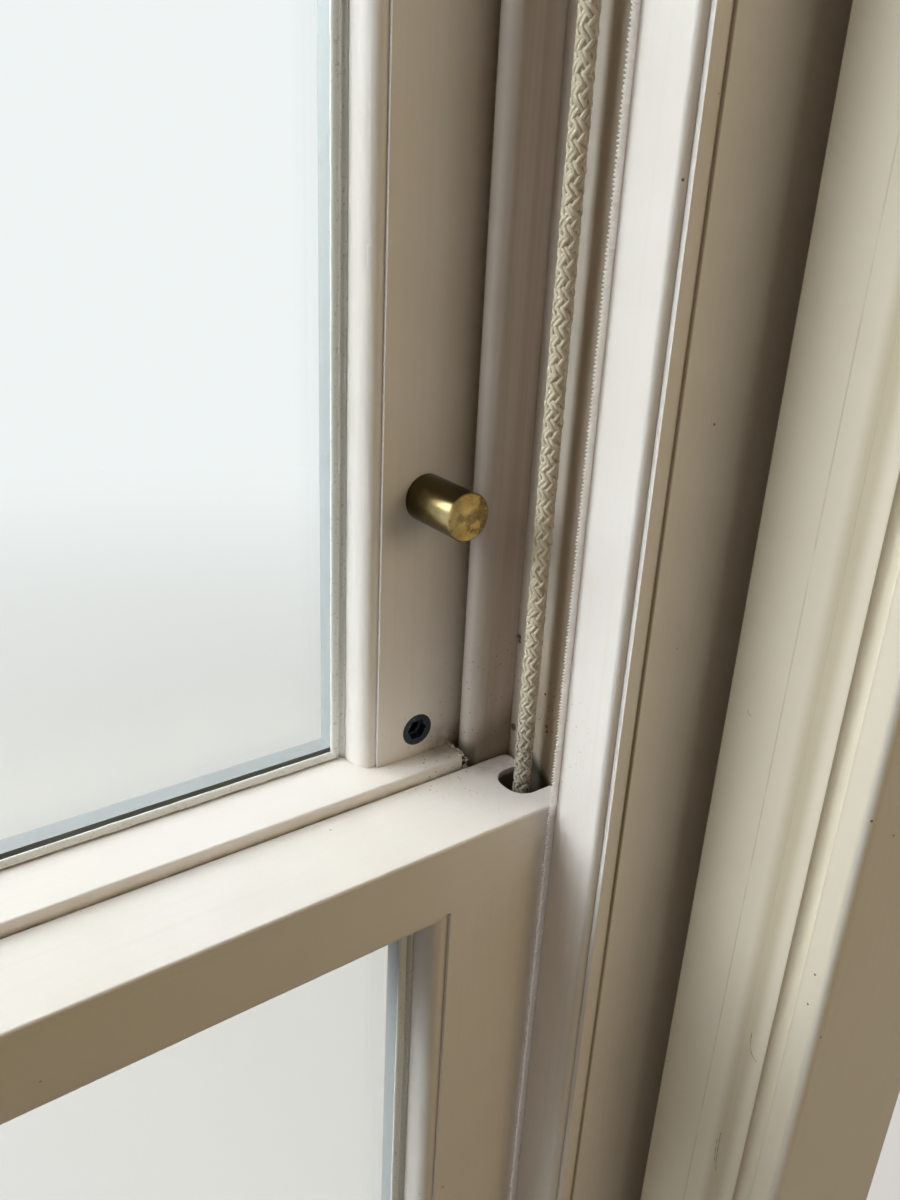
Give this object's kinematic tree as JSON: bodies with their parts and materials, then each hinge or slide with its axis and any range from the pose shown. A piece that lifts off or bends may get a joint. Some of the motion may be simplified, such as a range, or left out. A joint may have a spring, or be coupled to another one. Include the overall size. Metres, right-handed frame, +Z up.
{
  "type": "sash window",
  "caption": "Vertically sliding double-glazed box sash window with weights, cords and pulleys, brass stops, beads, sill and inner casing",
  "frame": {"origin": "middle of the sill's underside, in the plane of the parting beads", "axes": "+X across the window, to the right seen from the room; +Y out of the room; +Z up"},
  "size_m": [1.049, 0.28, 1.5685],
  "materials": {
    "painted_timber": "satin",
    "bare_timber": "matte",
    "clear_glass": "gloss",
    "spacer": "matte",
    "brush_pile": "matte",
    "aged_brass": "satin",
    "dark_zinc": "satin",
    "cotton_cord": "matte",
    "cast_weight": "matte",
    "pulley_iron": "satin",
    "pulley_brass": "satin",
    "bright_steel": "satin"
  },
  "bodies": {
    "frame": {"head": "painted_timber", "pulley_stile_left": "painted_timber", "pulley_stile_right": "painted_timber", "pocket_piece_left": "painted_timber", "pocket_piece_right": "painted_timber", "inner_lining_left": "painted_timber", "inner_lining_right": "painted_timber", "inner_lining_head": "painted_timber", "outer_lining_left": "painted_timber", "outer_lining_right": "painted_timber", "outer_lining_head": "painted_timber", "parting_bead_left": "painted_timber", "parting_bead_right": "painted_timber", "parting_bead_head": "painted_timber", "staff_bead_left": "painted_timber", "staff_bead_right": "painted_timber", "staff_bead_head": "painted_timber", "staff_bead_sill": "painted_timber", "reveal_lining_left": "painted_timber", "reveal_lining_right": "painted_timber", "reveal_lining_head": "painted_timber", "architrave_left": "painted_timber", "architrave_right": "painted_timber", "architrave_head": "painted_timber", "window_board": "painted_timber", "sill": "painted_timber", "back_lining_left": "bare_timber", "back_lining_right": "bare_timber", "parting_slips": "bare_timber", "grounds": "bare_timber", "brush_seals": "brush_pile", "pulley_cases": "pulley_iron", "pulley_axles": "bright_steel", "pulley_screws": "bright_steel", "lower_sash_cords": "cotton_cord", "upper_sash_cords": "cotton_cord"},
    "lower_sash": {"lower_stile_left": "painted_timber", "lower_stile_right": "painted_timber", "lower_meeting_rail": "painted_timber", "lower_bottom_rail": "painted_timber", "lower_glass": "clear_glass", "lower_spacer": "spacer", "lower_glazing_beads": "painted_timber"},
    "upper_sash": {"upper_stile_left": "painted_timber", "upper_stile_right": "painted_timber", "upper_top_rail": "painted_timber", "upper_meeting_rail": "painted_timber", "upper_glass": "clear_glass", "upper_spacer": "spacer", "upper_glazing_beads": "painted_timber", "stop_inserts": "dark_zinc", "brass_stops": "aged_brass"},
    "lower_weight_left": {"lower_weight_left": "cast_weight"},
    "lower_pulley_wheel_left": {"lower_pulley_wheel_left": "pulley_brass"},
    "lower_weight_right": {"lower_weight_right": "cast_weight"},
    "lower_pulley_wheel_right": {"lower_pulley_wheel_right": "pulley_brass"},
    "upper_weight_left": {"upper_weight_left": "cast_weight"},
    "upper_pulley_wheel_left": {"upper_pulley_wheel_left": "pulley_brass"},
    "upper_weight_right": {"upper_weight_right": "cast_weight"},
    "upper_pulley_wheel_right": {"upper_pulley_wheel_right": "pulley_brass"}
  },
  "joints": [
    {"name": "lower_sash_slide", "type": "slide", "parent": "frame", "child": "lower_sash", "axis": [0, 0, 1], "range_m": [0, 0.0536], "deforming": ["lower_sash_cords"]},
    {"name": "upper_sash_slide", "type": "slide", "parent": "frame", "child": "upper_sash", "axis": [0, 0, 1], "range_m": [-0.0536, 0], "deforming": ["upper_sash_cords"]},
    {"name": "lower_weight_left_slide", "type": "slide", "parent": "frame", "child": "lower_weight_left", "axis": [0, 0, 1], "range_m": [-0.054, 0]},
    {"name": "lower_pulley_wheel_left_turn", "type": "hinge", "parent": "frame", "child": "lower_pulley_wheel_left", "pos_m": [-0.3975, -0.026, 1.367], "axis": [0, 1, 0], "range_deg": [-114, 0]},
    {"name": "lower_weight_right_slide", "type": "slide", "parent": "frame", "child": "lower_weight_right", "axis": [0, 0, 1], "range_m": [-0.054, 0]},
    {"name": "lower_pulley_wheel_right_turn", "type": "hinge", "parent": "frame", "child": "lower_pulley_wheel_right", "pos_m": [0.3975, -0.026, 1.367], "axis": [0, 1, 0], "range_deg": [0, 114]},
    {"name": "upper_weight_left_slide", "type": "slide", "parent": "frame", "child": "upper_weight_left", "axis": [0, 0, 1], "range_m": [0, 0.054]},
    {"name": "upper_pulley_wheel_left_turn", "type": "hinge", "parent": "frame", "child": "upper_pulley_wheel_left", "pos_m": [-0.3975, 0.0275, 1.367], "axis": [0, 1, 0], "range_deg": [0, 114]},
    {"name": "upper_weight_right_slide", "type": "slide", "parent": "frame", "child": "upper_weight_right", "axis": [0, 0, 1], "range_m": [0, 0.054]},
    {"name": "upper_pulley_wheel_right_turn", "type": "hinge", "parent": "frame", "child": "upper_pulley_wheel_right", "pos_m": [0.3975, 0.0275, 1.367], "axis": [0, 1, 0], "range_deg": [-114, 0]}
  ],
  "couplings": [
    {"joint": "lower_weight_left_slide", "follows": "lower_sash_slide", "ratio": -1},
    {"joint": "lower_pulley_wheel_left_turn", "follows": "lower_sash_slide", "rad_per_m": -37.037},
    {"joint": "lower_weight_right_slide", "follows": "lower_sash_slide", "ratio": -1},
    {"joint": "lower_pulley_wheel_right_turn", "follows": "lower_sash_slide", "rad_per_m": 37.037},
    {"joint": "upper_weight_left_slide", "follows": "upper_sash_slide", "ratio": -1},
    {"joint": "upper_pulley_wheel_left_turn", "follows": "upper_sash_slide", "rad_per_m": -37.037},
    {"joint": "upper_weight_right_slide", "follows": "upper_sash_slide", "ratio": -1},
    {"joint": "upper_pulley_wheel_right_turn", "follows": "upper_sash_slide", "rad_per_m": 37.037}
  ]
}
